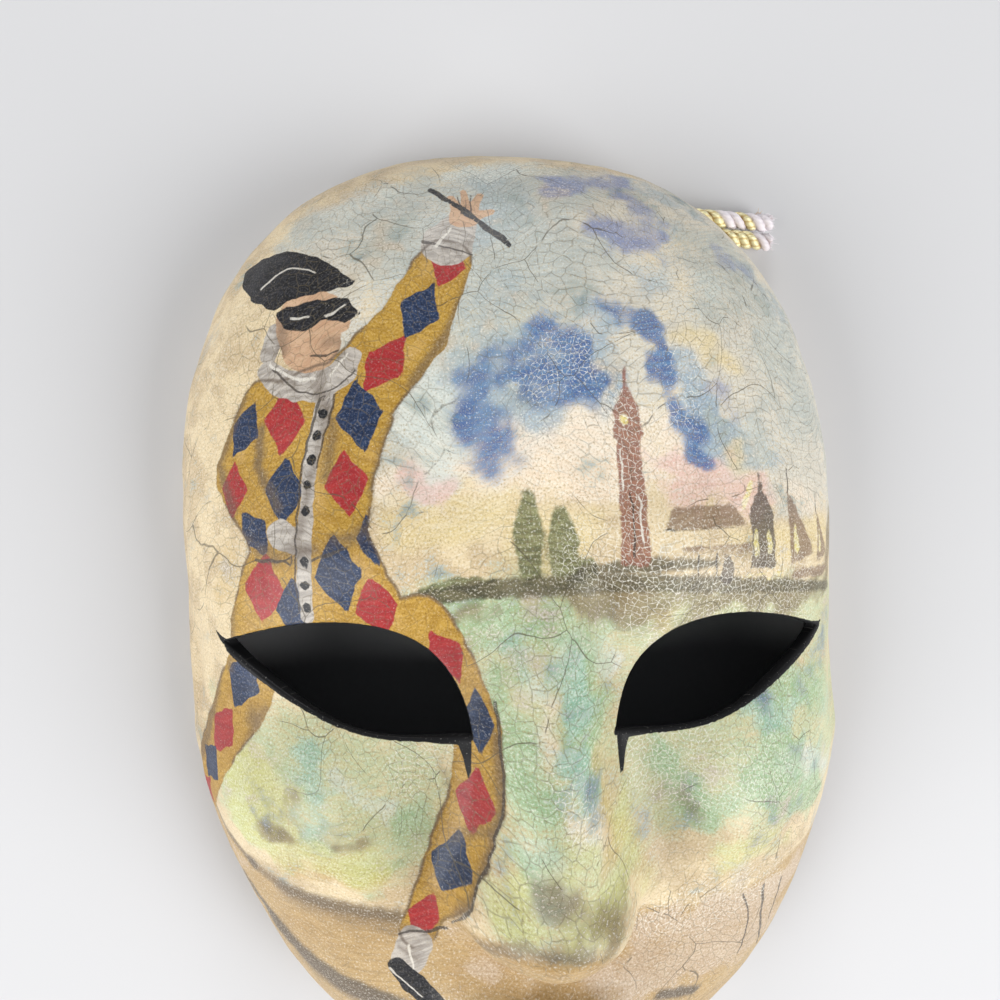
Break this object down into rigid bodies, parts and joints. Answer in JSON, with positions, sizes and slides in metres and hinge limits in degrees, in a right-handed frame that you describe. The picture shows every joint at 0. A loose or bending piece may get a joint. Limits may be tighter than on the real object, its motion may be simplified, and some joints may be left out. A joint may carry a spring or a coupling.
{
  "type": "wall mask",
  "caption": "Full-face papier-mache wall mask with a closed mouth and two eye openings, painted and crackled, lying on its rim, with a short twisted hanging cord.",
  "frame": {"origin": "under the middle of the mask's bounding box, on the plane of its rim", "axes": "+Z out of the face, +Y towards the forehead, +X towards the right of someone who looks at the face"},
  "size_m": [0.1778, 0.2444, 0.079],
  "materials": {
    "painted_shell": "painted papier-mache with crackle and satin varnish",
    "cord": "twisted gold and white cord"
  },
  "bodies": {
    "root": {"mask_shell": "painted_shell", "cord_knot": "cord", "cord_tail_upper": "cord", "cord_tail_lower": "cord", "cord_loop": "cord"}
  },
  "joints": []
}
